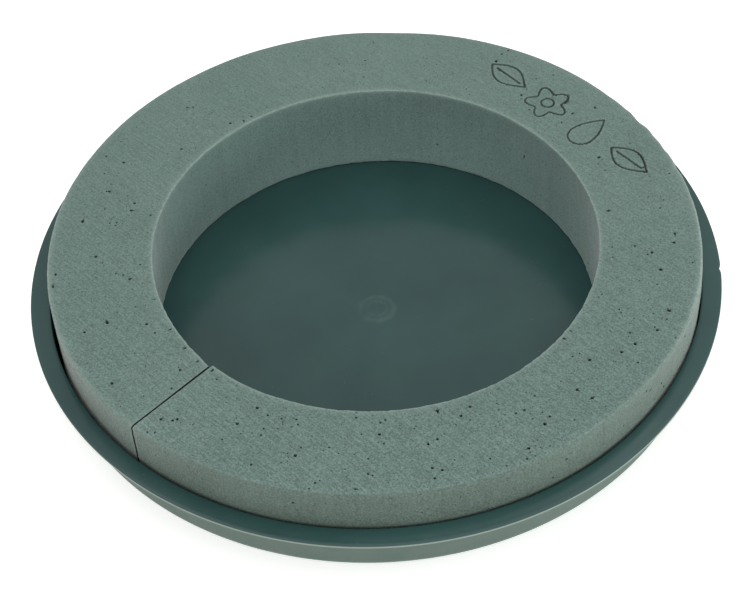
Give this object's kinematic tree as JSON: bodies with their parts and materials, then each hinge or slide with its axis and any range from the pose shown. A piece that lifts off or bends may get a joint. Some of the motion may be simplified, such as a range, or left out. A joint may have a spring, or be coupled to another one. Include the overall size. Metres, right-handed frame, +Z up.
{
  "type": "floral foam ring in tray",
  "caption": "Ring of green floral foam glued into a shallow round dark green plastic tray, for table wreaths and candle centrepieces.",
  "frame": {"origin": "centre of the tray's flat underside, on the surface it stands on", "axes": "+Z up along the axis of the ring and the tray; -Y towards the viewer, +X to the viewer's right, with the kerf at the front left"},
  "size_m": [0.3, 0.3, 0.0445],
  "materials": {
    "tray_plastic": "satin",
    "foam": "matte",
    "hot_melt": "satin"
  },
  "bodies": {
    "root": {"tray": "tray_plastic", "foam_ring": "foam", "hot_melt_dab_1": "hot_melt", "hot_melt_dab_2": "hot_melt", "hot_melt_dab_3": "hot_melt", "hot_melt_dab_4": "hot_melt", "hot_melt_dab_5": "hot_melt", "hot_melt_dab_6": "hot_melt", "hot_melt_dab_7": "hot_melt", "hot_melt_dab_8": "hot_melt"}
  },
  "joints": []
}
